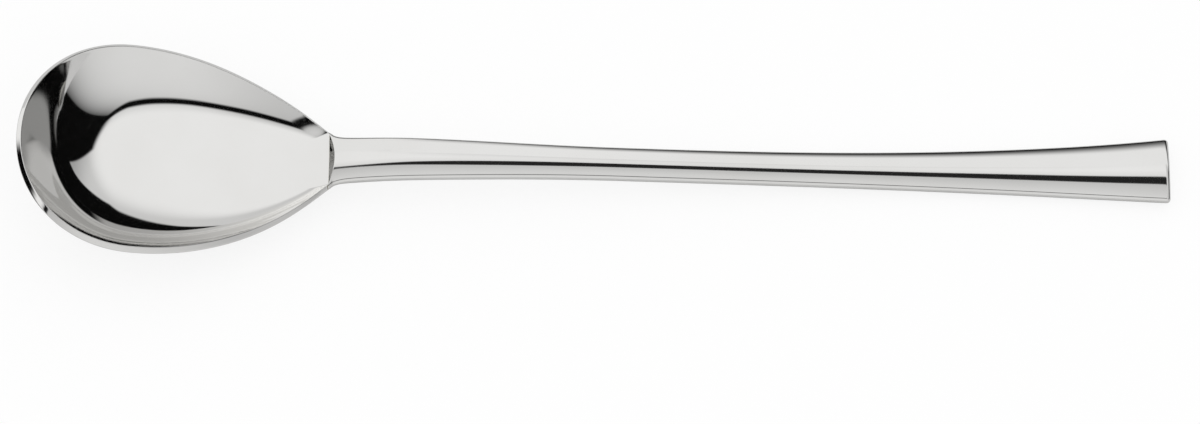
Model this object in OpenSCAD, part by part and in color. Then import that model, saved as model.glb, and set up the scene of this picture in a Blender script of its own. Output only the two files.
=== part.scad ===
// Tablespoon: a pressed steel bowl brazed to a solid steel handle over a hidden tang.
// X runs along the spoon from the tip of the bowl to the end of the handle, Y across it, Z up.
// The origin is midway along the length, on the surface that the spoon lies on.
// All sizes are millimetres.

/* [Overall] */
// Length from the tip of the bowl to the end of the handle
length = 210; // [190:1:230]

/* [Bowl] */
// Length of the bowl, from its tip to the line where the handle starts
bowl_len = 56.4; // [54:0.2:60]
// Width across the rim
bowl_w = 43.7; // [40:0.1:46]
// Distance from the tip to the widest place
widest_from_tip = 20.8; // [19:0.1:23]
// Squareness of the tip: 2 is an ellipse, more is blunter
tip_squareness = 2.07; // [2:0.01:2.4]
// Height of the rim's outer edge at the tip
tip_z = 14.75; // [13:0.05:16]
// Height of the rim's outer edge where it levels out towards the neck
shoulder_z = 5.35; // [5:0.05:6]
// Thickness of the floor
floor_t = 1.4; // [1.2:0.05:2]
// Width of the bevelled rim, seen from above
rim_w = 0.95; // [0.7:0.05:1.2]
// Width of the bevelled rim where it runs out at the neck
neck_rim_w = 0.5; // [0.4:0.05:0.7]
// Fall of the bevelled rim, from its inner to its outer edge
rim_drop = 0.8; // [0.5:0.05:1]
// Where the wall leaves the floor towards the tip, as a share of the way from the centre to the rim
tip_start = 0.79; // [0.7:0.01:0.85]
// Where the wall leaves the floor towards the neck, as a share of the same way
neck_start = 0.96; // [0.9:0.01:1]
// Softness of the turn from floor to wall towards the tip, as a share of the same way
tip_turn = 0.26; // [0.2:0.01:0.3]
// Softness of the turn from floor to wall towards the neck, as a share of the same way
neck_turn = 0.035; // [0.03:0.005:0.06]

/* [Handle] */
// Width just behind the neck
neck_w = 8.9; // [8:0.1:10]
// Width at the waist
waist_w = 6.75; // [6:0.05:8]
// Width at the end
end_w = 13.3; // [11:0.1:15]
// Radius of the rounded edges
edge_r = 0.9; // [0.7:0.05:1]
// Rise of the crowned top over its edges, as a share of the half width
crown_share = 0.145; // [0.1:0.005:0.18]
// Depth of the rounded underside below its edges, at the neck
belly_neck = 1.7; // [1.5:0.05:2]
// Depth of the rounded underside below its edges, at the end
belly_end = 0.55; // [0.4:0.05:0.8]
// Height of the edges at the top of the arch behind the neck
arch_z = 6.4; // [6:0.05:7]
// Lift of the end above the place where the handle touches the table
end_lift = 0.5; // [0.2:0.05:0.8]
// Radius that softens the corners of the end
end_r = 0.8; // [0.4:0.05:0.85]

/* [Neck joint] */
// Slope of the handle's front face, up from the floor of the bowl
front_slope = 58; // [45:1:70]
// Width of the tang
tang_w = 4.6; // [4:0.1:5]
// Thickness of the tang
tang_t = 1.5; // [1.2:0.05:1.7]
// Length of the tang inside the handle
tang_len = 10; // [8:0.5:12]
// Rise of the tang along the handle, in degrees
tang_tilt = 7; // [5:0.5:8]
// Thickness of the brazing metal
braze_t = 0.1; // [0.08:0.01:0.15]

/* [Hidden] */

// Stations along X
tip_x = -length / 2;
end_x = length / 2;
joint_x = tip_x + bowl_len;
widest_x = tip_x + widest_from_tip;
floor_x = widest_x - 4.5;
arch_x = joint_x + 14.6;
waist_x = joint_x + 53.6;
neck_run = 52;
flare_x = waist_x + 5;
rest_x = end_x - 20;

// Half widths
bowl_half = bowl_w / 2;
neck_half = neck_w / 2;
waist_half = waist_w / 2;
end_half = end_w / 2;

// Shape of the shoulders, where the bowl runs in to the handle
shoulder_len = 36.3;
shoulder_power = 0.89;
shoulder_fillet = 2;
flare_power = 2.5;

// The rim narrows over this run before the neck
rim_taper_run = 20;

// Shape of the rim line and the spine, seen from the side
ramp_x = joint_x - 11.5;
ramp_turn = 6;
spine_power = 0.75;
rest_z = edge_r + belly_end;

// The handle's lower edges are nearly sharp at the joint and round out over this run
low_edge_min = 0.05;
low_edge_run = 6;

// How soon the walls change from their shape at the tip to that at the neck
along_power = 0.84;

// How late the keel, the floor's lowest line, climbs to the neck
keel_power = 3.2;

// Fineness of the surfaces
crease_steps = 5;
shoulder_steps = 14;
tip_steps = 14;
rings = 18;
flat_rings = 3;
top_steps = 10;
edge_steps = 3;
span = 5;
front_len = 3;
front_steps = 10;
end_steps = 4;

tang_root = 1.2;
tang_z = 4.4;
steel = [0.78, 0.78, 0.77];
braze_metal = [0.74, 0.72, 0.66];

// Eases from 0 to 1 as t goes from 0 to 1, level at both ends
function ease(t) = (1 - cos(180 * max(0, min(1, t)))) / 2;

// A ramp that is 0 far below zero and t far above it, with a round turn of the given size
function soft_ramp(t, turn) = (t + sqrt(t * t + turn * turn)) / 2;

// The same with a turn that dies away faster
function soft_corner(t, turn) = turn * ln(1 + exp(t / turn));

// A power that keeps the sign of its base
function signed_pow(t, p) = sign(t) * pow(abs(t), p);

// Half width of the handle
function handle_half(x) =
    x < waist_x
    ? waist_half + (neck_half - waist_half) * ease((waist_x - x) / neck_run)
    : waist_half + (end_half - waist_half) * pow(max(0, x - flare_x) / (end_x - flare_x), flare_power);

// Half width of the bowl behind its widest place, before the fillet at the neck
function shoulder_half(x) =
    let (u = (x - widest_x) / shoulder_len)
    neck_half + (bowl_half - neck_half) * signed_pow(1 - u * u, shoulder_power);

// Half width of the whole spoon behind the bowl's widest place
function spoon_half(x) =
    handle_half(x) + soft_ramp(shoulder_half(x) - handle_half(x), shoulder_fillet);

// Height of the rim's outer edge
function rim_z(x) =
    let (share = soft_ramp(ramp_x - x, ramp_turn) / soft_ramp(ramp_x - tip_x, ramp_turn))
    shoulder_z + (tip_z - shoulder_z) * share;

joint_z = rim_z(joint_x);
joint_half = spoon_half(joint_x);

// Height of the handle's edges
function spine_z(x) =
    x < arch_x
    ? joint_z + (arch_z - joint_z) * sin(90 * (x - joint_x) / (arch_x - joint_x))
    : x < rest_x
    ? arch_z + (rest_z - arch_z) * ease(pow((x - arch_x) / (rest_x - arch_x), spine_power))
    : rest_z + end_lift * pow((x - rest_x) / (end_x - rest_x), 2);

// Depth of the handle's rounded underside
function belly(x) = belly_neck + (belly_end - belly_neck) * ease((x - joint_x) / (rest_x - joint_x));

// Radius of the handle's lower edges, which die away towards the joint with the bowl
function low_edge_r(x) = max(low_edge_min, edge_r * ease((x - joint_x) / low_edge_run));

// Section of the handle as [y, z] about the middle of its edges: a crowned top and a rounded
// underside, joined by rounded edges that are drawn in by an inset. Turns from one edge over the
// top to the other.
function handle_section(x, inset) =
    let (
        half = spoon_half(x),
        top_a = half - edge_r,
        low_a = half - low_edge_r(x),
        crown = crown_share * half,
        sag = belly(x) + edge_r - low_edge_r(x),
        top_r = (top_a * top_a + crown * crown) / (2 * crown),
        low_r = (low_a * low_a + sag * sag) / (2 * sag),
        top_turn = asin(top_a / top_r),
        low_turn = asin(low_a / low_r),
        r = edge_r - inset,
        s = low_edge_r(x) - inset,
        upper = [for (k = [1 : edge_steps]) let (t = top_turn + (90 - top_turn) * k / edge_steps)
            [top_a + r * sin(t), r * cos(t)]],
        lower = [for (k = [1 : edge_steps - 1]) let (t = 90 + (90 - low_turn) * k / edge_steps)
            [low_a + s * sin(t), s * cos(t)]],
        edge = concat(upper, lower)
    )
    concat(
        [for (k = [0 : top_steps]) let (t = top_turn * (2 * k / top_steps - 1))
            [(top_r + r) * sin(t), (top_r + r) * cos(t) - top_r + crown]],
        edge,
        [for (k = [0 : top_steps]) let (t = 180 + low_turn * (2 * k / top_steps - 1))
            [(low_r + s) * sin(t), (low_r + s) * cos(t) + low_r - sag]],
        [for (k = [len(edge) - 1 : -1 : 0]) [-edge[k][0], edge[k][1]]]
    );

// Width of the rim behind the bowl's widest place, eased down towards the neck
function rim_w_at(x) = rim_w + (neck_rim_w - rim_w) * ease(1 - (joint_x - x) / rim_taper_run);

// Half width between the inner edges of the rim
function inner_half(x) =
    let (step = 0.1, slope = (spoon_half(x + step) - spoon_half(x - step)) / (2 * step))
    spoon_half(x) - rim_w_at(x) * sqrt(1 + slope * slope);

joint_inner_half = inner_half(joint_x);

// Height of the crease where the floor of the bowl meets the handle
function crease_z(y) = joint_z + rim_drop * pow(min(1, abs(y) / joint_inner_half), 2);

// Height of the handle's sloped front face
function front_z(x, y) = crease_z(y) + (x - joint_x) * tan(front_slope);

// Section of the handle cut back to its front face, as [x, y, z]
function handle_ring(x, inset) =
    [for (p = handle_section(x, inset)) [x, p[0], min(spine_z(x) + p[1], front_z(x, p[0]))]];

// Underside of the joint, from the middle out to the edge as t goes from 0 to 1, as [x, y, z]
function joint_underside(t) =
    let (
        y = joint_half * t,
        sag = belly_neck + edge_r,
        low_r = (joint_half * joint_half + sag * sag) / (2 * sag)
    )
    [joint_x, y, joint_z - sag + low_r - sqrt(low_r * low_r - y * y)];

// Superellipse of the bowl's tip, from the widest place to the tip as t goes from 0 to 1, as [x, y]
function tip_outline(t, inset) =
    let (p = 2 / tip_squareness)
    [widest_x - (widest_from_tip - inset) * pow(sin(90 * t), p),
     (spoon_half(widest_x) - inset) * pow(max(0, cos(90 * t)), p)];

// One side of the rim's inner edge, from the middle of the crease to the tip
inner_side = concat(
    [for (k = [0 : crease_steps]) let (y = joint_inner_half * k / crease_steps) [joint_x, y, crease_z(y)]],
    [for (k = [1 : shoulder_steps]) let (x = joint_x + (widest_x - joint_x) * k / shoulder_steps)
        [x, inner_half(x), rim_z(x) + rim_drop]],
    [for (k = [1 : tip_steps]) let (t = k / tip_steps, p = tip_outline(t, rim_w))
        [p[0], p[1], rim_z(tip_outline(t, 0)[0]) + rim_drop]]
);

// One side of the rim's outer edge, from the middle of the joint's underside to the tip
outer_side = concat(
    [for (k = [0 : crease_steps]) joint_underside(k / crease_steps)],
    [for (k = [1 : shoulder_steps]) let (x = joint_x + (widest_x - joint_x) * k / shoulder_steps)
        [x, spoon_half(x), rim_z(x)]],
    [for (k = [1 : tip_steps]) let (p = tip_outline(k / tip_steps, 0)) [p[0], p[1], rim_z(p[0])]]
);

// Closes a side into a loop by mirroring it across the spoon's middle plane
function both_sides(side) =
    let (last = len(side) - 1)
    concat(side, [for (k = [last - 1 : -1 : 1]) [side[k][0], -side[k][1], side[k][2]]]);

// Share of the way from the centre to the rim at a ring of the dish, closer together towards the rim
function ring_share(j) = sin(90 * j / rings);

// The underside of the floor is flat out to this share of the way
flat_share = ring_share(flat_rings);

// Rise from 0 at the centre of the floor to 1 at the rim, at a share of the way out: level at first,
// then a soft turn into a straight wall
function wall_rise(share, start, turn) =
    let (level = soft_corner(-start, turn), tilt = 1 / (1 + exp(start / turn)))
    (soft_corner(share - start, turn) - level - tilt * share)
    / (soft_corner(1 - start, turn) - level - tilt);

// The same rise on the way to the rim at x
function dish_rise(x, share) =
    let (
        along = 1 - pow(1 - (x - tip_x) / bowl_len, along_power),
        start = tip_start + (neck_start - tip_start) * along,
        turn = tip_turn + (neck_turn - tip_turn) * along
    )
    wall_rise(share, start, turn);

// Height of a dish's keel, which is level out to the end of its flat middle and then climbs to the neck
function keel_z(x, centre_z, neck_z, flat) =
    let (from = floor_x + flat * (joint_x - floor_x))
    centre_z + (neck_z - centre_z) * pow(max(0, x - from) / (joint_x - from), keel_power);

// Point of a dish on the way from its centre to a rim point, where the wall stands on the keel
function dish_point(rim, share, centre_z, neck_z, flat) =
    let (
        x = floor_x + (rim[0] - floor_x) * share,
        level = dish_rise(rim[0], flat),
        rise = max(0, dish_rise(rim[0], share) - level) / (1 - level),
        wall = rim[2] - keel_z(rim[0], centre_z, neck_z, flat)
    )
    [x, rim[1] * share, keel_z(x, centre_z, neck_z, flat) + wall * rise];

// Faces of a band of quads between two rings of n points that start at a and b, as triangles
function band(a, b, n) =
    [for (k = [0 : n - 1]) let (m = (k + 1) % n) each [[a + k, b + k, b + m], [a + k, b + m, a + m]]];

// Faces that join a ring of n points starting at a to one point
function fan(point, a, n) = [for (k = [0 : n - 1]) [point, a + k, a + (k + 1) % n]];

// Turns faces over
function flipped(faces) = [for (f = faces) [f[2], f[1], f[0]]];

// The dish: an inner and an outer surface of rings, closed by the bevelled rim and the joint face
module dish() {
    inner_rim = both_sides(inner_side);
    outer_rim = both_sides(outer_side);
    n = len(inner_rim);
    inner = [for (j = [1 : rings], p = inner_rim)
        dish_point(p, ring_share(j), floor_t, joint_z, 0)];
    outer = [for (j = [1 : rings], p = outer_rim)
        dish_point(p, ring_share(j), 0, joint_underside(0)[2], flat_share)];
    outer_start = n * rings;
    inner_centre = 2 * n * rings;
    outer_centre = inner_centre + 1;
    inner_faces = concat(
        fan(inner_centre, 0, n),
        [for (j = [0 : rings - 2]) each band(n * j, n * (j + 1), n)]
    );
    outer_faces = concat(
        fan(outer_centre, outer_start, n),
        [for (j = [0 : rings - 2]) each band(outer_start + n * j, outer_start + n * (j + 1), n)]
    );
    polyhedron(
        points = concat(inner, outer, [[floor_x, 0, floor_t], [floor_x, 0, 0]]),
        faces = concat(
            flipped(inner_faces),
            outer_faces,
            flipped(band(outer_start - n, outer_start + n * (rings - 1), n))
        )
    );
}

// A block along the tang's axis, from its root or the joint to its end, grown by a clearance
module tang_block(root, gap) {
    translate([joint_x, 0, tang_z])
        rotate([0, -tang_tilt, 0])
            translate([-root, -tang_w / 2 - gap, -tang_t / 2 - gap])
                cube([root + tang_len + gap, tang_w + 2 * gap, tang_t + 2 * gap]);
}

// Stations of the handle's rings as [x, inset]: close together over the sloped front, even along
// the handle, and on a quarter circle at the softened end
front_x = joint_x + braze_t;
end_start_x = end_x - end_r;
body_start_x = front_x + front_len;
body_steps = ceil((end_start_x - body_start_x) / span);
stations = concat(
    [for (k = [0 : front_steps - 1]) [front_x + front_len * k / front_steps, 0]],
    [for (k = [0 : body_steps]) [body_start_x + (end_start_x - body_start_x) * k / body_steps, 0]],
    [for (k = [1 : end_steps]) let (t = 90 * k / end_steps)
        [end_start_x + end_r * sin(t), end_r * (1 - cos(t))]]
);

// The handle's bar, skinned over its rings
module bar() {
    sections = [for (s = stations) handle_ring(s[0], s[1])];
    n = len(sections[0]);
    last = n * (len(stations) - 1);
    polyhedron(
        points = [for (s = sections, p = s) p],
        faces = concat(
            [for (j = [0 : len(stations) - 2]) each flipped(band(n * j, n * (j + 1), n))],
            [[for (k = [n - 1 : -1 : 0]) k]],
            [[for (k = [0 : n - 1]) last + k]]
        )
    );
}

// Film of brazing metal between the bowl's back face and the handle's front
module butt_film() {
    outline = [for (p = handle_ring(front_x, 0)) [p[1], p[2]]];
    translate([joint_x, 0, 0])
        rotate([90, 0, 90])
            linear_extrude(braze_t)
                polygon(outline);
}

module bowl() {
    color(steel)
        union() {
            dish();
            tang_block(tang_root, 0);
        }
}

module handle() {
    color(steel)
        difference() {
            bar();
            tang_block(tang_root, braze_t);
        }
}

module neck_braze() {
    color(braze_metal)
        difference() {
            union() {
                butt_film();
                intersection() {
                    tang_block(tang_root, braze_t);
                    translate([joint_x, -neck_w, 0])
                        cube([2 * tang_len, 2 * neck_w, 2 * arch_z]);
                }
            }
            tang_block(tang_root, 0);
        }
}

bowl();
handle();
neck_braze();
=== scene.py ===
# %% [markdown]
# # A polished steel tablespoon
#
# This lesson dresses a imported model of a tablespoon. The model gives the places and sizes of three pieces:
# a pressed bowl, a solid handle, and the film of brazing metal that joins them at the neck. Its surfaces are
# coarse facets, which a mirror finish would show at once. So the bowl and the handle are worked out again
# here as fine surfaces from the same few dimensions, and take the places of their coarse nodes.

import bpy
import numpy as np
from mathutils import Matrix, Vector

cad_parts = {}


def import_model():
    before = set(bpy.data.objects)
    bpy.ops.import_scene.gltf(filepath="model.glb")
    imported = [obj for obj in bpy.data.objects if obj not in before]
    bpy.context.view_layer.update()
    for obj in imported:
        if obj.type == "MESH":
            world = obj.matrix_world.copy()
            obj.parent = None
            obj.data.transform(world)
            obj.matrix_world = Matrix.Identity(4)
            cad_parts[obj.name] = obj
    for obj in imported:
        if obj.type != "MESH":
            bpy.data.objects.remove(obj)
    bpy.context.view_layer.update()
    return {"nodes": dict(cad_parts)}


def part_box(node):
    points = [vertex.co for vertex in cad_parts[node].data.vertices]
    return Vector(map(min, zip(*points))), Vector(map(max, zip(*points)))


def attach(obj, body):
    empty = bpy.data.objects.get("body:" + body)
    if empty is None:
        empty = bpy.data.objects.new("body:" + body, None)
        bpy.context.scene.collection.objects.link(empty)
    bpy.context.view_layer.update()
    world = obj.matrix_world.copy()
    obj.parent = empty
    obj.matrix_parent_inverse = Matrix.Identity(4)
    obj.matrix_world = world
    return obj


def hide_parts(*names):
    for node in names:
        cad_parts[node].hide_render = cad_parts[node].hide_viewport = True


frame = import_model()
MM = 0.001
CM = 0.01

# %% [markdown]
# ## Stations along the spoon
#
# X runs from the tip of the bowl to the end of the handle, Y across, and Z up from the table. The tip, the
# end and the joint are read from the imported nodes, so that the fine surfaces can't drift away from the model.
# Everything else is a real size in millimetres, measured from one of these places.

# %% Read the main places and name the sizes
bowl_low, bowl_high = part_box("bowl")
handle_low, handle_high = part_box("handle")
rim_width, neck_rim_width = 0.95 * MM, 0.5 * MM
rim_fall = 0.8 * MM
tip_x = bowl_low.x
tip_z = bowl_high.z - rim_fall
joint_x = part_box("neck_braze")[0].x
front_x = handle_low.x
end_x = handle_high.x
bowl_half = 43.7 * MM / 2
neck_half = 8.9 * MM / 2
waist_half = 6.75 * MM / 2
end_half = 13.3 * MM / 2
widest_x = tip_x + 20.8 * MM
floor_x = widest_x - 4.5 * MM
arch_x = joint_x + 14.6 * MM
waist_x = joint_x + 53.6 * MM
flare_x = waist_x + 5 * MM
rest_x = end_x - 20 * MM
print("joint at %.1f mm, end at %.1f mm" % (joint_x / MM, end_x / MM))

# %% [markdown]
# ## Soft turns
#
# Nothing on a polished spoon has a kink, except at the joint. Three small functions make every curve of it:
# a half wave that eases between two levels, and two ramps that bend softly out of a level stretch.

# %% Three soft functions


def ease(t):
    """Half a cosine wave: 0 up to t = 0, 1 from t = 1 on, and level at both ends."""
    return (1 - np.cos(np.pi * np.clip(t, 0, 1))) / 2


def soft_ramp(t, turn):
    """The mean of t and a hyperbola: 0 far below zero, t far above it, and round over the turn."""
    return (t + np.sqrt(t * t + turn * turn)) / 2


def soft_corner(t, turn):
    """The turn times the logarithm of 1 plus e to the t over turn: the same ramp, with a shorter turn."""
    return turn * np.logaddexp(0, t / turn)


print("ramps at their corner:", soft_ramp(0, 1), soft_corner(0, 1))

# %% [markdown]
# ## The outline from above
#
# Seen from above, the spoon is one line: a blunt superellipse round the tip, shoulders that run in to the
# neck through a small fillet, then a slim handle that narrows to a waist and flares to a square end. Each
# stretch is a formula for the half width at a station x.

# %% Half widths of the handle and of the whole spoon
neck_run = 52 * MM
flare_power = 2.5
shoulder_length = 36.3 * MM
shoulder_power = 0.89
shoulder_fillet = 2 * MM
rim_taper_run = 20 * MM
tip_squareness = 2.07


def handle_half(x):
    """An eased fall from the neck to the waist, then a power curve out to the end."""
    narrowing = (neck_half - waist_half) * ease((waist_x - x) / neck_run)
    flare = (end_half - waist_half) * np.clip((x - flare_x) / (end_x - flare_x), 0, None) ** flare_power
    return waist_half + np.where(x < waist_x, narrowing, flare)


def spoon_half(x):
    """The handle, plus a soft ramp that adds the bowl's shoulder where that is the wider of the two."""
    fall = 1 - ((x - widest_x) / shoulder_length) ** 2
    shoulder = neck_half + (bowl_half - neck_half) * np.sign(fall) * np.abs(fall) ** shoulder_power
    return handle_half(x) + soft_ramp(shoulder - handle_half(x), shoulder_fillet)


def inner_half(x):
    """The spoon's half width less the rim, whose width is square to the outline and shrinks to the neck."""
    step = 0.1 * MM
    slope = (spoon_half(x + step) - spoon_half(x - step)) / (2 * step)
    width = rim_width + (neck_rim_width - rim_width) * ease(1 - (joint_x - x) / rim_taper_run)
    return spoon_half(x) - width * np.sqrt(1 + slope * slope)


def tip_outline(t, inset):
    """A superellipse from the widest place to the tip as t goes from 0 to 1, drawn in by an inset."""
    power = 2 / tip_squareness
    along = np.sin(np.pi / 2 * t) ** power
    across = np.clip(np.cos(np.pi / 2 * t), 0, 1) ** power
    return widest_x - (widest_x - tip_x - inset) * along, (spoon_half(widest_x) - inset) * across


print("half width at the joint: %.2f mm" % (spoon_half(joint_x) / MM))

# %% [markdown]
# ## The lines from the side
#
# Seen from the side, the rim falls from the tip in a nearly straight line and levels out before the neck. The
# handle arches a little behind the neck, sinks to the table and lifts again at its end.

# %% Heights of the rim, the handle and the crease
shoulder_z = 5.35 * MM
ramp_x = joint_x - 11.5 * MM
ramp_turn = 6 * MM
edge_round = 0.9 * MM
belly_neck = 1.7 * MM
belly_end = 0.55 * MM
arch_z = 6.4 * MM
rest_z = edge_round + belly_end
end_lift = 0.5 * MM
spine_power = 0.75


def rim_z(x):
    """Height of the rim's outer edge: a soft ramp that climbs from the shoulders to the tip."""
    climb = soft_ramp(ramp_x - x, ramp_turn) / soft_ramp(ramp_x - tip_x, ramp_turn)
    return shoulder_z + (tip_z - shoulder_z) * climb


joint_z = rim_z(joint_x)
joint_half = spoon_half(joint_x)
joint_inner_half = inner_half(joint_x)


def spine_z(x):
    """Height of the handle's edges: a quarter sine to the arch, an eased fall, and a parabola at the end."""
    climb = joint_z + (arch_z - joint_z) * np.sin(np.pi / 2 * (x - joint_x) / (arch_x - joint_x))
    fall = ease(np.clip((x - arch_x) / (rest_x - arch_x), 0, 1) ** spine_power)
    lift = end_lift * (np.clip(x - rest_x, 0, None) / (end_x - rest_x)) ** 2
    return np.where(x < arch_x, climb, arch_z + (rest_z - arch_z) * fall + lift)


def belly(x):
    """Depth of the handle's rounded underside, eased from the neck to the end."""
    return belly_neck + (belly_end - belly_neck) * ease((x - joint_x) / (rest_x - joint_x))


def crease_z(y):
    """Height of the crease where the bowl meets the handle: a parabola up to the rim's inner edges."""
    return joint_z + rim_fall * np.clip(np.abs(y) / joint_inner_half, 0, 1) ** 2


print("crease %.2f mm above the table" % (joint_z / MM))

# %% [markdown]
# ## From a grid of points to a closed skin
#
# Both pieces are closed skins over rings of points, like a sock with both ends sewn up. One helper turns such
# a grid into a mesh: quads between neighbouring rings, and a fan of triangles to one point at each end. The
# whole index arrays are made at once, and the enclosed volume is printed as a test, since a skin that is
# inside out has a negative one.

# %% Skin a grid of rings


def skin(name, rings, first_pole, last_pole):
    """A closed mesh over rings of points, joined ring to ring by quads and closed by fans at two poles."""
    count, size = rings.shape[:2]
    points = np.concatenate([rings.reshape(-1, 3), [first_pole, last_pole]])
    here = np.arange(count * size).reshape(count, size)
    beside = np.roll(here, -1, axis=1)
    quads = np.stack([here[:-1], here[1:], beside[1:], beside[:-1]], axis=-1).reshape(-1, 4)
    pole = np.full(size, count * size)
    first_fan = np.stack([pole, here[0], beside[0]], axis=-1)
    last_fan = np.stack([here[-1], pole + 1, beside[-1]], axis=-1)
    mesh = bpy.data.meshes.new(name)
    mesh.from_pydata(points.tolist(), [], quads.tolist() + first_fan.tolist() + last_fan.tolist())
    mesh.shade_smooth()
    piece = bpy.data.objects.new(name, mesh)
    bpy.context.scene.collection.objects.link(piece)
    return piece


def volume(piece):
    """A sixth of the sum, over the triangles, of the box product of their three corners."""
    mesh = piece.data
    mesh.calc_loop_triangles()
    corners = np.empty(len(mesh.loop_triangles) * 3, np.int32)
    mesh.loop_triangles.foreach_get("vertices", corners)
    points = np.empty(len(mesh.vertices) * 3)
    mesh.vertices.foreach_get("co", points)
    a, b, c = np.moveaxis(points.reshape(-1, 3)[corners.reshape(-1, 3)], 1, 0)
    return np.einsum("ij,ij->", a, np.cross(b, c)) / 6


def report(piece):
    """Prints a piece's faces and volume."""
    print("%s: %d faces, %.2f cm3" % (piece.name, len(piece.data.polygons), volume(piece) / CM**3))


# %% [markdown]
# ## The tang
#
# A flat tang behind the bowl sits in a socket in the handle, with a film of brazing metal around it. Nobody
# sees it once the spoon is whole, but it is what joins the two pieces, so the fine surfaces carry it too. A
# block along the tang's own tilted axis is added to the bowl, and the same block, grown by the film, is taken
# out of the handle. A Boolean modifier is the plain tool for that.

# %% A tang block, and a Boolean that applies it
tang_half = 4.6 * MM / 2
tang_thick = 1.5 * MM
tang_length = 10 * MM
tang_root = 1.2 * MM
tang_z = 4.4 * MM
tang_tilt = np.radians(7)
braze_thick = 0.1 * MM


def tang_block(gap):
    """The eight corners of a box along the tang's axis, from its root to its end, grown by a gap."""
    ends = np.array([-tang_root, tang_length + gap])
    sides = (tang_half + gap) * np.array([-1, 1])
    faces = (tang_thick / 2 + gap) * np.array([-1, 1])
    along, across, up = np.stack(np.meshgrid(ends, sides, faces, indexing="ij"), axis=-1).reshape(-1, 3).T
    x = joint_x + along * np.cos(tang_tilt) - up * np.sin(tang_tilt)
    z = tang_z + along * np.sin(tang_tilt) + up * np.cos(tang_tilt)
    sides_of_box = [(0, 1, 3, 2), (4, 6, 7, 5), (0, 4, 5, 1), (2, 3, 7, 6), (0, 2, 6, 4), (1, 5, 7, 3)]
    mesh = bpy.data.meshes.new("tang_block")
    mesh.from_pydata(np.stack([x, across, z], axis=-1).tolist(), [], sides_of_box)
    block = bpy.data.objects.new("tang_block", mesh)
    bpy.context.scene.collection.objects.link(block)
    return block


def join_or_cut(piece, block, operation):
    """Replaces a piece's mesh by its union with the block or its difference from it, and drops the block."""
    boolean = piece.modifiers.new("tang", "BOOLEAN")
    boolean.operation = operation
    boolean.solver = "EXACT"
    boolean.object = block
    evaluated = piece.evaluated_get(bpy.context.evaluated_depsgraph_get())
    whole = bpy.data.meshes.new_from_object(evaluated)
    whole.name = piece.data.name
    piece.modifiers.clear()
    piece.data = whole
    bpy.data.objects.remove(block)


print("tang %.0f mm long and %.1f mm thick" % (tang_length / MM, tang_thick / MM))

# %% [markdown]
# ## The bowl
#
# The bowl is pressed from sheet: a nearly level floor, a soft turn, and straight walls up to a bevelled rim.
# The turn lies far in and is wide at the tip, and it moves out and tightens towards the neck, where the floor
# climbs to meet the handle. That change is what makes the dark reflections sweep round the tip and shrink to
# a line.
#
# A lathe can't make it, because no two sides are alike. Instead, straight rays run from the centre of the
# floor to every point of the rim, and a formula gives the height along each ray. Rings of points then go from
# the centre up the wall, over the bevel, and back underneath to the centre.

# %% Height along the rays of the dish
floor_thick = 1.4 * MM
flat_share = np.sin(np.radians(15))
tip_start, neck_start = 0.79, 0.96
tip_turn, neck_turn = 0.26, 0.035
along_power = 0.84
keel_power = 3.2


def wall_rise(share, start, turn):
    """A soft corner, tilted to start level, and scaled to go from 0 at the centre to 1 at the rim."""
    level = soft_corner(-start, turn)
    tilt = 1 / (1 + np.exp(start / turn))
    at_share = soft_corner(share - start, turn) - level - tilt * share
    at_rim = soft_corner(1 - start, turn) - level - tilt
    return at_share / at_rim


def dish_rise(x, share):
    """The wall's rise on the ray to the rim at x, as the start and turn change from the tip to the neck."""
    along = 1 - np.clip(1 - (x - tip_x) / (joint_x - tip_x), 0, 1) ** along_power
    start = tip_start + (neck_start - tip_start) * along
    turn = tip_turn + (neck_turn - tip_turn) * along
    return wall_rise(share, start, turn)


def keel_z(x, centre_z, neck_z, flat):
    """Height of the lowest line: level to the end of the flat, then a power curve up to the neck."""
    level_to = floor_x + flat * (joint_x - floor_x)
    climb = np.clip(x - level_to, 0, None) / (joint_x - level_to)
    return centre_z + (neck_z - centre_z) * climb**keel_power


def dish(edge, share, centre_z, neck_z, flat):
    """Points at a share of the way from the centre to the edge: the keel's height there plus the wall's."""
    x = floor_x + (edge[..., 0] - floor_x) * share
    level = dish_rise(edge[..., 0], flat)
    rise = np.clip(dish_rise(edge[..., 0], share) - level, 0, None) / (1 - level)
    wall = edge[..., 2] - keel_z(edge[..., 0], centre_z, neck_z, flat)
    z = keel_z(x, centre_z, neck_z, flat) + wall * rise
    return np.stack([x, edge[..., 1] * share, z], axis=-1)


print("floor %.1f mm thick" % (floor_thick / MM))

# %% [markdown]
# The rim has an inner and an outer edge, with the same number of points on both. Each starts in the middle of
# the joint, crosses it to the corner, and follows the outline to the tip. The other side is its mirror image.

# %% The rim's two edges
crease_points, shoulder_points, tip_points = 20, 110, 90


def rim_side(across, half, inset, lift):
    """One side of an edge: points across the joint, then the shoulder, then the tip's superellipse."""
    x = np.linspace(joint_x, widest_x, shoulder_points + 1)[1:]
    shoulder = np.stack([x, half(x), rim_z(x) + lift], axis=-1)
    turn = np.linspace(0, 1, tip_points + 1)[1:]
    x, y = tip_outline(turn, inset)
    tip = np.stack([x, y, rim_z(tip_outline(turn, 0)[0]) + lift], axis=-1)
    return np.concatenate([across, shoulder, tip])


def both_sides(side):
    """Closes one side into a loop by mirroring it across the middle plane."""
    return np.concatenate([side, side[-2:0:-1] * [1, -1, 1]])


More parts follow.
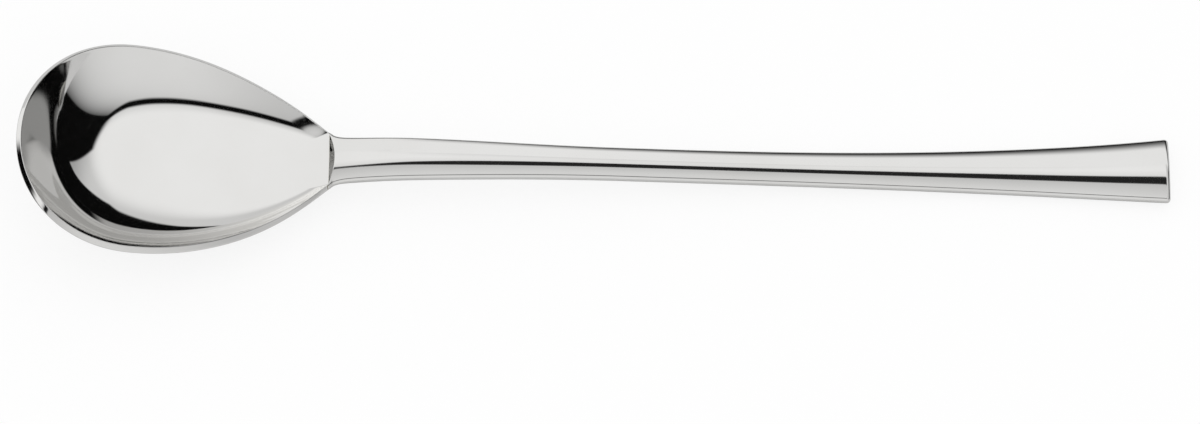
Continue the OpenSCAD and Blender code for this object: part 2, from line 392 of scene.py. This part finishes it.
joint_share = np.linspace(0, 1, crease_points + 1)
joint_level = np.full_like(joint_share, joint_x)
crease_y = joint_inner_half * joint_share
crease = np.stack([joint_level, crease_y, crease_z(crease_y)], axis=-1)
under_y = joint_half * joint_share
under_sag = belly_neck + edge_round
under_radius = (joint_half**2 + under_sag**2) / (2 * under_sag)
under_z = joint_z - under_sag + under_radius - np.sqrt(under_radius**2 - under_y**2)
underside = np.stack([joint_level, under_y, under_z], axis=-1)
inner_edge = both_sides(rim_side(crease, inner_half, rim_width, rim_fall))
outer_edge = both_sides(rim_side(underside, spoon_half, 0, 0))
print("points round the rim:", len(inner_edge))

# %% [markdown]
# A polished rim has no sharp edge, so both edges of the bevel are cut back a little and bridged with a
# quadratic Bezier curve. The cut dies away towards the joint, where the bowl has a crisp crease.

# %% Skin the bowl
inner_rings, bevel_rings, corner_rings, outer_rings = 84, 4, 8, 60
crisp_cut = 0.01 * MM
inner_cut = 0.16 * MM
outer_cut = 0.22 * MM
cut_run = 3 * MM


def corner_cut(edge, full_cut):
    """How far a corner is cut back: crisp at the joint, eased to the full cut along the rim."""
    return crisp_cut + (full_cut - crisp_cut) * ease((joint_x - edge[:, 0]) / cut_run)


def cut_share(surface, cut):
    """The share at which a ray is the length of the cut short of the rim."""
    step = 0.002
    length = np.linalg.norm(surface(1.0) - surface(1 - step), axis=-1) / step
    return 1 - cut / length


def rounded(before_corner, corner, after_corner):
    """A quadratic Bezier curve from a point before a corner to one after it, without its first point."""
    t = np.linspace(0, 1, corner_rings + 1)[1:, None, None]
    return (1 - t) ** 2 * before_corner + 2 * t * (1 - t) * corner + t**2 * after_corner


def inside(share):
    """The upper surface of the dish."""
    return dish(inner_edge, share, floor_thick, joint_z, 0)


def below(share):
    """The underside of the dish, with its flat to rest on."""
    return dish(outer_edge, share, 0, under_z[0], flat_share)


bevel = outer_edge - inner_edge
bevel_way = bevel / np.linalg.norm(bevel, axis=-1, keepdims=True)
inner_cuts = corner_cut(inner_edge, inner_cut)
outer_cuts = corner_cut(outer_edge, outer_cut)
inner_reach = cut_share(inside, inner_cuts)
outer_reach = cut_share(below, outer_cuts)
bevel_from = inner_edge + bevel_way * inner_cuts[:, None]
bevel_to = outer_edge - bevel_way * outer_cuts[:, None]
upwards = np.linspace(0, 1, inner_rings + 1)[1:, None]
down = np.linspace(0, 1, bevel_rings + 1)[1:, None, None]
inwards = np.linspace(1, 0, outer_rings + 1)[1:-1, None]
bowl_grid = np.concatenate([
    inside(upwards * inner_reach),
    rounded(inside(inner_reach), inner_edge, bevel_from),
    bevel_from + (bevel_to - bevel_from) * down,
    rounded(bevel_to, outer_edge, below(outer_reach)),
    below(inwards * outer_reach),
])
bowl_piece = skin("bowl_polished", bowl_grid, (floor_x, 0, floor_thick), (floor_x, 0, 0))
join_or_cut(bowl_piece, tang_block(0), "UNION")
report(bowl_piece)

# %% [markdown]
# ## The handle
#
# The handle is a solid bar. Its section has a crowned top, a rounded belly and round edges between them,
# which are four arcs that meet without a kink. The section follows the outline and the side lines from the
# joint to the end, where it shrinks on a quarter circle into the flat end face. In front, a sloped plane cuts
# the crown down to the crease. The lower of crown and slope is taken with a soft corner, so that the crest is
# slightly round, as polishing leaves it.

# %% Rings of the handle's section
crown_share = 0.145
low_edge_least = 0.05 * MM
low_edge_run = 6 * MM
end_round = 0.8 * MM
front_slope = np.radians(58)
front_round = 0.05 * MM
top_points, edge_points, belly_points = 60, 12, 44


def arc(y, z, radius, angle):
    """Points at an angle from the vertical on a circle about y, z."""
    return y + radius * np.sin(angle), z + radius * np.cos(angle)


def handle_rings(x, inset):
    """Rings of four arcs about the height of the edges, cut down to the sloped plane in front."""
    half = spoon_half(x)
    low_round = np.maximum(low_edge_least, edge_round * ease((x - joint_x) / low_edge_run))
    top_half, low_half = half - edge_round, half - low_round
    crown, sag = crown_share * half, belly(x) + edge_round - low_round
    top_radius = (top_half**2 + crown**2) / (2 * crown)
    low_radius = (low_half**2 + sag**2) / (2 * sag)
    top_turn, low_turn = np.arcsin(top_half / top_radius), np.arcsin(low_half / low_radius)
    top_sweep = top_turn * np.linspace(-1, 1, top_points + 1)
    sweep = np.linspace(0, 1, edge_points + 1)[1:]
    low_sweep = np.pi + low_turn * np.linspace(-1, 1, belly_points + 1)
    top = arc(0, crown - top_radius, top_radius + edge_round - inset, top_sweep)
    upper = arc(top_half, 0, edge_round - inset, top_turn + (np.pi / 2 - top_turn) * sweep)
    lower = arc(low_half, 0, low_round - inset, np.pi / 2 + (np.pi / 2 - low_turn) * sweep[:-1])
    low = arc(0, low_radius - sag, low_radius + low_round - inset, low_sweep)
    edge_y, edge_z = (np.concatenate(pair, axis=1) for pair in zip(upper, lower))
    y = np.concatenate([top[0], edge_y, low[0], -edge_y[:, ::-1]], axis=1)
    z = spine_z(x) + np.concatenate([top[1], edge_z, low[1], edge_z[:, ::-1]], axis=1)
    front_z = crease_z(y) + (x - joint_x) * np.tan(front_slope)
    z = z - soft_corner(z - front_z, front_round)
    return np.stack(np.broadcast_arrays(x, y, z), axis=-1)


print("crown of the neck: %.2f mm" % (crown_share * joint_half / MM))

# %% Skin the handle
front_length = 3 * MM
hairline = 0.01 * MM
front_rings, body_rings, end_rings = 60, 220, 12
end_start = end_x - end_round
front_x_run = np.linspace(front_x + hairline, front_x + front_length, front_rings + 1)[:-1]
body_x_run = np.linspace(front_x + front_length, end_start, body_rings + 1)
end_turn = np.linspace(0, np.pi / 2, end_rings + 1)[1:]
ring_x = np.concatenate([[front_x], front_x_run, body_x_run, end_start + end_round * np.sin(end_turn)])
ring_inset = np.concatenate([np.zeros(len(ring_x) - end_rings), end_round * (1 - np.cos(end_turn))])
handle_grid = handle_rings(ring_x[:, None], ring_inset[:, None])
handle_piece = skin("handle_polished", handle_grid, (front_x, 0, tang_z), (end_x, 0, spine_z(end_x)))
join_or_cut(handle_piece, tang_block(braze_thick), "DIFFERENCE")
report(handle_piece)

# %% [markdown]
# ## Helpers for materials
#
# A node tree written link by link is hard to read. One helper adds a node, sets it and links it in a single
# call, and a few more wrap the nodes that come up often: noise, a straight ramp and a blend of two colours.
# The mix node has sockets for numbers, vectors and colours under the same names, so its colours are picked by
# their places.

# %% Short names for common nodes
MIX_SHARE, MIX_FIRST_COLOUR, MIX_SECOND_COLOUR, MIX_COLOUR = 0, 6, 7, 2


def add(tree, kind, inputs=(), **settings):
    """Adds a node, sets its properties, and fills inputs by name or number with values or other sockets."""
    node = tree.nodes.new(kind)
    for name, value in settings.items():
        setattr(node, name, value)
    for name, value in dict(inputs).items():
        if isinstance(value, bpy.types.NodeSocket):
            tree.links.new(value, node.inputs[name])
        else:
            node.inputs[name].default_value = value
    return node


def new_material(name):
    """An empty node material, with its output node."""
    material = bpy.data.materials.new(name)
    material.use_nodes = True
    material.node_tree.nodes.clear()
    return material, material.node_tree, add(material.node_tree, "ShaderNodeOutputMaterial")


def noise(tree, place, scale, detail, breakup):
    """Cloudy noise at a place, with finer and finer octaves that each keep a share of the last one."""
    inputs = {"Vector": place, "Scale": scale, "Detail": detail, "Roughness": breakup}
    return add(tree, "ShaderNodeTexNoise", inputs).outputs["Fac"]


def ramp(tree, value, start, end, at_start=0.0, at_end=1.0):
    """A straight line from one level where the value is at its start to another at its end, level beyond."""
    limits = {"Value": value, "From Min": start, "From Max": end, "To Min": at_start, "To Max": at_end}
    return add(tree, "ShaderNodeMapRange", limits).outputs["Result"]


def blend_colours(tree, share, first, second):
    """The first colour where the share is 0, the second where it is 1, and a straight mix between."""
    inputs = {MIX_SHARE: share, MIX_FIRST_COLOUR: first, MIX_SECOND_COLOUR: second}
    return add(tree, "ShaderNodeMix", inputs, data_type="RGBA").outputs[MIX_COLOUR]


# %% [markdown]
# ## Polished steel
#
# Cutlery is polished on soft wheels, so it is a mirror with a trace of its making: faint lines that follow
# the stroke of the wheel along the spoon, and patches where the sheen is a little softer. Both come from
# noise on the piece's own coordinates. Noise stretched along X makes the lines, which tilt the surface by a
# hair and roughen it slightly, and broad noise makes the patches and a barely warmer tone. The handle's small
# front face just behind the joint, which looks towards the tip, is given a dark base colour: painted shade,
# which keeps that corner at the neck dark in any light.

# %% Painted shade on the corner at the neck
painted_shade_run = 4 * MM
painted_shade_facing, painted_shade_facing_soft = -0.45, 0.1


def painted_shade_share(tree):
    """1 on the faces just behind the joint that look towards the tip, where shade is painted, and 0 elsewhere.
    """
    texture = add(tree, "ShaderNodeTexCoord").outputs
    x = add(tree, "ShaderNodeSeparateXYZ", {0: texture["Object"]}).outputs["X"]
    facing = add(tree, "ShaderNodeSeparateXYZ", {0: texture["Normal"]}).outputs["X"]
    run = {0: x, 1: joint_x + painted_shade_run / 2, 2: painted_shade_run / 2}
    near = add(tree, "ShaderNodeMath", run, operation="COMPARE").outputs[0]
    turned = ramp(tree, facing, painted_shade_facing + painted_shade_facing_soft, painted_shade_facing - painted_shade_facing_soft)
    return add(tree, "ShaderNodeMath", {0: near, 1: turned}, operation="MULTIPLY").outputs[0]


# The dark corner is painted shade, over this run behind the joint.
print("dull corner %.0f mm long" % (painted_shade_run / MM))

# %% Metal with polishing lines
line_detail, line_breakup, line_depth = 4.0, 0.6, 0.01 * MM
patch_scale, patch_detail, patch_breakup = 55.0, 3.0, 0.5
patch_share = 0.5
sheen_from, sheen_to = 0.35, 0.65
tone_from, tone_to = 0.3, 0.7


def metal(name, pale, deep, corner, smooth, rough, line_scale, tilt):
    """A metal with polishing lines along X: noise stretched by line_scale, which tilts and roughens it, and
    painted shade in the corner colour at the neck.
    """
    material, tree, output = new_material(name)
    place = add(tree, "ShaderNodeTexCoord").outputs["Object"]
    stretched = add(tree, "ShaderNodeMapping", {"Vector": place, "Scale": line_scale}).outputs["Vector"]
    lines = noise(tree, stretched, 1.0, line_detail, line_breakup)
    patches = noise(tree, place, patch_scale, patch_detail, patch_breakup)
    sheen = add(tree, "ShaderNodeMix", {"A": lines, "B": patches, "Factor": patch_share}).outputs["Result"]
    tone = ramp(tree, patches, tone_from, tone_to)
    polished = blend_colours(tree, tone, (*pale, 1), (*deep, 1))
    bump = add(tree, "ShaderNodeBump", {"Height": lines, "Strength": tilt, "Distance": line_depth})
    shader = add(tree, "ShaderNodeBsdfPrincipled", {
        # The corner colour is painted shade on the handle's front face behind the joint.
        "Base Color": blend_colours(tree, painted_shade_share(tree), polished, (*corner, 1)),
        "Metallic": 1.0,
        "Roughness": ramp(tree, sheen, sheen_from, sheen_to, smooth, rough),
        "Normal": bump.outputs["Normal"],
    })
    tree.links.new(shader.outputs["BSDF"], output.inputs["Surface"])
    return material


polished_steel = metal(
    "polished_steel",
    pale=(0.755, 0.752, 0.742),
    deep=(0.725, 0.72, 0.706),
    # A dark corner colour: painted shade on the handle's front face at the neck.
    corner=(0.24, 0.238, 0.232),
    smooth=0.03,
    rough=0.07,
    line_scale=(60, 1500, 1500),
    tilt=0.04,
)
print("made", polished_steel.name)

# %% [markdown]
# ## Brazing metal
#
# The film of silver brazing alloy shows only as a hairline at the crease. It has been dressed with a fine
# stone and is not polished, so it is the same kind of metal, warmer, with coarser lines and a duller sheen.
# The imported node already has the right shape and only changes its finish.

# %% Finish the three pieces
braze_deep = (0.66, 0.65, 0.61)
braze_metal = metal(
    "braze_metal",
    pale=(0.74, 0.73, 0.70),
    deep=braze_deep,
    # Here the painted shade at the neck corner takes the braze's deep tone.
    corner=braze_deep,
    smooth=0.16,
    rough=0.28,
    line_scale=(300, 2500, 2500),
    tilt=0.1,
)


def finish_piece(piece, material):
    """Gives a piece its only material, and the slot that the material belongs to."""
    piece.data.materials.clear()
    piece.data.materials.append(material)


for piece, node in ((bowl_piece, "bowl"), (handle_piece, "handle")):
    finish_piece(piece, polished_steel)
    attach(piece, "root")
    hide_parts(node)
braze_piece = frame["nodes"]["neck_braze"]
for slot in braze_piece.material_slots:
    slot.material = braze_metal
print("finished:", bowl_piece.name, handle_piece.name, braze_piece.name)

# %% [markdown]
# ## The camera
#
# The photograph looks down on the spoon from its long side, 60 degrees above the table, with a long lens from
# more than a metre away. The image is 1200 by 424, so the sensor is set by its width.

# %% Set up the camera
view_lift = np.radians(60)
view_distance = 1278.2 * MM
aim = Vector((0.894 * MM, -7.46 * MM, 0))
sensor_width, focal_length = 36, 210
camera_data = bpy.data.cameras.new("camera")
camera_data.sensor_fit = "HORIZONTAL"
camera_data.sensor_width = sensor_width
camera_data.lens = focal_length
camera = bpy.data.objects.new("camera", camera_data)
camera.location = aim + view_distance * Vector((0, -np.cos(view_lift), np.sin(view_lift)))
camera.rotation_euler = (np.pi / 2 - view_lift, 0, 0)
bpy.context.scene.collection.objects.link(camera)
bpy.context.scene.camera = camera
bpy.context.scene.view_settings.view_transform = "Standard"
print("camera at", [round(c, 3) for c in camera.location])

# %% [markdown]
# ## The table
#
# The spoon lies on a plain white table, a hair under it so that the two never share a plane. For the camera
# the table is mostly its own white, with a share of the soft shadow that the spoon casts on it.

# %% Lay the table
table_half, table_points = 0.25, 3
table_z = -0.05 * MM
table_white, table_mirrored = 0.96, 0.7
shadow_share = 0.16


def sheet(name, points):
    """An open mesh of quads over a grid of points."""
    rows, columns = points.shape[:2]
    here = np.arange(rows * columns).reshape(rows, columns)
    quads = np.stack([here[:-1, :-1], here[1:, :-1], here[1:, 1:], here[:-1, 1:]], axis=-1).reshape(-1, 4)
    mesh = bpy.data.meshes.new(name)
    mesh.from_pydata(points.reshape(-1, 3).tolist(), [], quads.tolist())
    piece = bpy.data.objects.new(name, mesh)
    bpy.context.scene.collection.objects.link(piece)
    return piece


def table_material():
    """A matt white, greyer in reflections, that for the camera is mixed with a plain glow of full white."""
    material, tree, output = new_material("table_white")
    ray = add(tree, "ShaderNodeLightPath").outputs
    tones = {"Factor": ray["Is Glossy Ray"], "A": table_white, "B": table_mirrored}
    matt = add(tree, "ShaderNodeBsdfDiffuse", {"Color": add(tree, "ShaderNodeMix", tones).outputs["Result"]})
    glow = add(tree, "ShaderNodeEmission", {"Strength": 1.0})
    share = add(tree, "ShaderNodeMath", {0: ray["Is Camera Ray"], 1: 1 - shadow_share}, operation="MULTIPLY")
    mix = add(tree, "ShaderNodeMixShader", {0: share.outputs[0], 1: matt.outputs[0], 2: glow.outputs[0]})
    tree.links.new(mix.outputs[0], output.inputs["Surface"])
    return material


table_line = np.linspace(-table_half, table_half, table_points)
table_grid = np.stack(np.meshgrid(table_line, table_line, [table_z], indexing="ij"), axis=-1)[:, :, 0]
table = sheet("table", table_grid)
table.data.materials.append(table_material())
print("table %.1f m wide" % (2 * table_half))

# %% [markdown]
# ## The light tent
#
# A mirror shows nothing but its surroundings, so the look of polished cutlery is made by the tent that it is
# photographed in. This one has a white roof and a white front, a dark slit between them, and dark gaps behind
# the far edge of the roof and beyond the handle. It could be built from glowing panels, but the world's nodes
# give cleaner edges. Only reflections see the tent, and everything else sees plain white.
#
# The helpers below do its sums, products and soft steps, and every edge of the tent is such a step.

# %% Start the tent's world, and its helpers
world = bpy.data.worlds.new("light_tent")
bpy.context.scene.world = world
world.use_nodes = True
tent = world.node_tree
tent.nodes.clear()


def work(operation, a, b=0.0):
    """One arithmetic step on two values or sockets."""
    return add(tent, "ShaderNodeMath", {0: a, 1: b}, operation=operation).outputs[0]


def product(first, *others):
    """All the values multiplied together."""
    for other in others:
        first = work("MULTIPLY", first, other)
    return first


def fade(value, start, end):
    """A smooth step from 0 at the start to 1 at the end."""
    limits = {"Value": value, "From Min": start, "From Max": end}
    return add(tent, "ShaderNodeMapRange", limits, interpolation_type="SMOOTHSTEP").outputs["Result"]


def past(value, edge, soft):
    """1 past an edge that is soft on both sides, and 0 before it."""
    return fade(value, edge - soft, edge + soft)


def before(value, edge, soft):
    """1 before an edge that is soft on both sides, and 0 past it."""
    return fade(value, edge + soft, edge - soft)


def less(share, amount):
    """1 less the amount times the share."""
    return work("SUBTRACT", 1.0, work("MULTIPLY", share, amount))


print("tent started:", world.name)

# %% [markdown]
# A direction from the spoon meets a ceiling one unit up at x / z along it and at y / z towards the back, and
# there the edges of flat panels are straight lines. What bends is kept in two angles instead. The turn goes
# round the X axis, from 0 at the far side through 90 overhead to 180 at the camera's side, and the lean goes
# from the tip's side at -90 to the handle's side at 90.

# %% Directions, as a place on the ceiling and as two angles
least_up = 0.02
way = add(tent, "ShaderNodeTexCoord").outputs["Generated"]
way_x, way_y, way_z = add(tent, "ShaderNodeSeparateXYZ", {0: way}).outputs
way_up = work("MAXIMUM", way_z, least_up)
along = work("DIVIDE", way_x, way_up)
back = work("DIVIDE", way_y, way_up)
turn = work("DEGREES", work("ARCTAN2", way_up, way_y))
lean = work("DEGREES", work("ARCSINE", way_x))
print("nodes in the tent so far:", len(tent.nodes))

# %% [markdown]
# The slit between roof and front lies about 30 degrees to the camera's side of overhead. It bends towards
# overhead on both sides, is slightly wider on the tip's side, and curls back there before it closes.

# %% The slit
slit_turn, slit_half, slit_soft, slit_end = 120.3, 5.2, 2.6, -56
slit_tip_from, slit_tip_to, slit_widening = -6, -30, 1.3
slit_sag, slit_sag_lean = 9, -45
slit_drop, slit_drop_from, slit_drop_to = 0.038, 2, 24
slit_curl, slit_curl_lean = 2.6, -44.5
tip_side = fade(lean, slit_tip_from, slit_tip_to)
sag = work("MULTIPLY", fade(lean, 0, slit_sag_lean), slit_sag)
dropping = work("MAXIMUM", work("SUBTRACT", work("MINIMUM", lean, slit_drop_to), slit_drop_from), 0.0)
drop = product(dropping, dropping, slit_drop)
curl = work("MULTIPLY", work("MAXIMUM", work("SUBTRACT", slit_curl_lean, lean), 0.0), slit_curl)
slit_middle = work("SUBTRACT", work("ADD", curl, slit_turn), work("ADD", sag, drop))
opening = work("ADD", work("MULTIPLY", tip_side, slit_widening), slit_half)
opening = work("MULTIPLY", opening, past(lean, slit_end, slit_soft))
off_middle = work("SUBTRACT", turn, slit_middle)
off_roof = work("ADD", off_middle, opening)
off_front = work("SUBTRACT", off_middle, opening)
print("slit at %.1f degrees, %.1f degrees wide" % (slit_turn, 2 * slit_half))

# %% [markdown]
# The roof has a soft edge at each end. Towards the handle, a tongue of it reaches further on its far side.
# Behind, the roof ends at the far edge, but only on the handle's side. It is shaded along the slit, and grows
# dimmer towards its far corner and along the tongue.

# %% The roof
roof_glow = 1.05
roof_tip_end, roof_tip_soft = -64, 4
roof_handle_end, roof_handle_soft, edge_soft = 0.385, 0.07, 0.04
tongue_slope, tongue_from = 0.5, 0.087
tongue_dim, tongue_dim_from, tongue_dim_to = 0.45, 10, 55
far_edge, far_side, far_slant = 1.07, 0.44, 0.3
far_dim, far_dim_slope, far_dim_from, far_dim_to = 0.28, 1.3, 0.5, 1.15
slit_shade, slit_shade_tip, slit_shade_run = 0.2, 0.18, 18
tongue = past(work("SUBTRACT", back, work("MULTIPLY", along, tongue_slope)), tongue_from, edge_soft)
length = work("MAXIMUM", before(along, roof_handle_end, roof_handle_soft), tongue)
beyond = before(work("ADD", along, work("MULTIPLY", back, far_slant)), far_side, edge_soft)
depth = work("MAXIMUM", before(back, far_edge, edge_soft), beyond)
shade = work("ADD", work("MULTIPLY", tip_side, slit_shade_tip), slit_shade)
far_corner = fade(work("ADD", back, work("MULTIPLY", along, far_dim_slope)), far_dim_from, far_dim_to)
roof = product(
    before(off_roof, 0, slit_soft),
    length,
    past(lean, roof_tip_end, roof_tip_soft),
    depth,
    roof_glow,
    less(fade(off_roof, -slit_shade_run, slit_soft), shade),
    less(far_corner, far_dim),
    less(fade(lean, tongue_dim_from, tongue_dim_to), tongue_dim),
)
print("roof %.2f bright" % roof_glow)

# %% [markdown]
# The front covers the camera's side beyond the slit, and ends towards the handle at a straight edge. The dot
# product of a direction with the one that the front lies in tells how far it is past that edge. The light of
# the front fades towards the edge, and a little towards the tip.

# %% The front
front_glow = 0.92
front_facing = (-0.285, -0.95, -0.131)
front_from, front_soft, front_run = 0.03, 0.015, 0.26
front_dim, front_dim_from, front_dim_to = 0.2, -5, -50
both_ways = {0: way, 1: front_facing}
facing = add(tent, "ShaderNodeVectorMath", both_ways, operation="DOT_PRODUCT").outputs["Value"]
falling = work("EXPONENT", work("DIVIDE", work("MAXIMUM", facing, 0.0), -front_run))
front = product(
    past(off_front, 0, slit_soft),
    past(facing, front_from, front_soft),
    less(falling, 1.0),
    less(fade(lean, front_dim_from, front_dim_to), front_dim),
    front_glow,
)
print("front %.2f bright" % front_glow)

# %% [markdown]
# Where one wall of the bowl mirrors the other, light meets the polish twice or more, and its haze adds up. So
# from the second reflection on, the gaps that lie low behind the spoon or far towards the handle are grey,
# and from the third on every gap is. Deeper reflections also lose light, apart from those that leave towards
# the tip, which gain a little, and from the third on a little comes back. This stands in for the haze and is
# not physics. For the world, the Light Path node's depth is one more than the number of reflections, so the
# second one has a depth of 3.

# %% Haze in the deeper reflections
gap_glow, haze_glow = 0.003, 1.25
second_depth, third_depth = 2.5, 3.5
low_haze_turn, low_haze_soft = 70, 7
low_haze_dim, low_haze_dim_from, low_haze_dim_to = 0.5, 56, 66
handle_haze, handle_haze_lean, handle_haze_soft = 0.55, 60.5, 2
third_haze, third_gain = 0.8, 0.16
deep_loss, deep_rise, deep_rise_from, deep_rise_to = 0.4, 0.5, 12, -45
ray = add(tent, "ShaderNodeLightPath").outputs
twice = work("GREATER_THAN", ray["Ray Depth"], second_depth)
thrice = work("GREATER_THAN", ray["Ray Depth"], third_depth)
low_dim = less(fade(lean, low_haze_dim_from, low_haze_dim_to), low_haze_dim)
low_gap = work("MULTIPLY", low_dim, before(turn, low_haze_turn, low_haze_soft))
handle_gap = work("MULTIPLY", past(lean, handle_haze_lean, handle_haze_soft), handle_haze)
haze = work("MAXIMUM", work("MAXIMUM", low_gap, handle_gap), work("MULTIPLY", thrice, third_haze))
gap = work("MAXIMUM", product(haze, twice, haze_glow), gap_glow)
loss = work("SUBTRACT", deep_loss, work("MULTIPLY", fade(lean, deep_rise_from, deep_rise_to), deep_rise))
deep = work("MULTIPLY", less(twice, loss), less(thrice, -third_gain))
print("gaps %.3f bright, with haze up to %.2f" % (gap_glow, haze_glow))

# %% Close the tent
glow = work("MULTIPLY", work("MAXIMUM", work("ADD", roof, front), gap), deep)
strength = add(tent, "ShaderNodeMix", {"Factor": ray["Is Glossy Ray"], "A": 1.0, "B": glow}).outputs["Result"]
background = add(tent, "ShaderNodeBackground", {"Color": (1, 1, 1, 1), "Strength": strength})
add(tent, "ShaderNodeOutputWorld", {"Surface": background.outputs["Background"]})
print("nodes in the tent:", len(tent.nodes))

# %% [markdown]
# ## The dark strip over the handle
#
# A crowned handle in a white tent looks flat. Photographers hang a narrow black strip close above it, whose
# reflection runs along the crown as one dark line. Panels like this strip are sheets with soft edges, kept in
# a point attribute that mixes their glow with clear. A panel also turns clear where it is seen at a slant, as
# through the grid of a studio lamp, which keeps most of it out of the bowl's reflections. Only reflections
# see the panels.

# %% A panel with soft edges
slant_soft = 0.05


def panel(name, points, cover, glow, widest_slant):
    """A sheet that glows where its cover is 1, and is clear where that is 0 or it is seen at a slant."""
    material, tree, output = new_material(name)
    share = add(tree, "ShaderNodeAttribute", attribute_name="cover").outputs["Fac"]
    slant = add(tree, "ShaderNodeLayerWeight").outputs["Facing"]
    straight = ramp(tree, slant, widest_slant + slant_soft, widest_slant - slant_soft)
    seen = add(tree, "ShaderNodeMath", {0: share, 1: straight}, operation="MULTIPLY").outputs[0]
    clear = add(tree, "ShaderNodeBsdfTransparent").outputs[0]
    light = add(tree, "ShaderNodeEmission", {"Strength": glow}).outputs[0]
    mix = add(tree, "ShaderNodeMixShader", {0: seen, 1: clear, 2: light})
    tree.links.new(mix.outputs[0], output.inputs["Surface"])
    piece = sheet(name, points)
    piece.data.attributes.new("cover", "FLOAT", "POINT").data.foreach_set("value", cover.ravel())
    piece.data.materials.append(material)
    piece.visible_camera = False
    piece.visible_diffuse = False
    piece.visible_shadow = False
    print("%s: %d points" % (name, cover.size))


# %% Hang the strip
strip_z = 40 * MM
strip_low, strip_high = -62 * MM, 113 * MM
strip_middle = 33 * MM
strip_y = 8.4 * MM
strip_bow, strip_bow_run = 3.4 * MM, 70 * MM
strip_half, strip_soft = 4.1 * MM, 1.8 * MM
strip_taper, strip_taper_run = 0.25, 60 * MM
strip_glow, strip_slant = 0.02, 0.25
far_shade, far_shade_run = 0.12, 7 * MM
near_shade, near_shade_run = 0.36, 26 * MM
strip_columns, strip_rows = 127, 181
strip_x = np.linspace(strip_low, strip_high, strip_columns)[:, None]
strip_across = np.linspace(-1, 1, strip_rows)[None, :]
taper = strip_taper + (1 - strip_taper) * ease((strip_x - strip_low) / strip_taper_run)
centre_y = strip_y - strip_bow * ((strip_x - strip_middle) / strip_bow_run) ** 2
off_centre = strip_across * (strip_half + near_shade_run)
outside = np.abs(off_centre) - strip_half * taper
core = 1 - ease((outside + strip_soft / 2) / strip_soft)
shade_far = far_shade * np.clip(1 - outside / far_shade_run, 0, 1)
shade_near = near_shade * np.clip(1 - outside / near_shade_run, 0, 1)
strip_cover = np.maximum(core, np.where(off_centre > 0, shade_far, shade_near))
strip_points = np.stack(np.broadcast_arrays(strip_x, centre_y + off_centre, strip_z), axis=-1)
panel("dark_strip", strip_points, strip_cover, strip_glow, strip_slant)

# %% [markdown]
# ## White cards around the handle
#
# Without help, the far half of the crown would mirror the dark gap behind the roof. A white card that stands
# close behind the handle brightens it, and fades out above the table to leave one dark line along the far
# edge. A smaller card, closer in, does the same for the neck, and fades out along the handle where the long
# one has begun. A third card lies level beyond the handle's end and lights the round edge there.

# %% Stand two cards, and lay one
card_glow, card_slant = 1.02, 0.52
card_columns, card_rows = 33, 67
card_x, card_y, card_z = (-40 * MM, 165 * MM), 25 * MM, (9 * MM, 42 * MM)
card_low_run, card_end_run = 10 * MM, 1 * MM
neck_card_x, neck_card_y, neck_card_z = (-58 * MM, -26 * MM), 14 * MM, (8.5 * MM, 22 * MM)
neck_card_low_run, neck_card_end_run = 2 * MM, 14 * MM
end_card_glow, end_card_slant, end_card_points = 0.75, 0.55, 5
end_card_x, end_card_y, end_card_z = (114 * MM, 190 * MM), (-40 * MM, 30 * MM), 38 * MM


def standing_card(name, x_range, y, z_range, low_run, end_run):
    """An upright sheet at y, whose cover is eased in over its lowest run and out over its last."""
    x = np.linspace(*x_range, card_columns)[:, None]
    z = np.linspace(*z_range, card_rows)[None, :]
    points = np.stack(np.broadcast_arrays(x, y, z), axis=-1)
    cover = ease((z - z_range[0]) / low_run) * ease((x_range[1] - x) / end_run)
    panel(name, points, cover, card_glow, card_slant)


standing_card("white_card", card_x, card_y, card_z, card_low_run, card_end_run)
standing_card("neck_card", neck_card_x, neck_card_y, neck_card_z, neck_card_low_run, neck_card_end_run)
end_x_line = np.linspace(*end_card_x, end_card_points)[:, None]
end_y_line = np.linspace(*end_card_y, end_card_points)[None, :]
end_points = np.stack(np.broadcast_arrays(end_x_line, end_y_line, end_card_z), axis=-1)
panel("end_card", end_points, np.ones(end_points.shape[:2]), end_card_glow, end_card_slant)
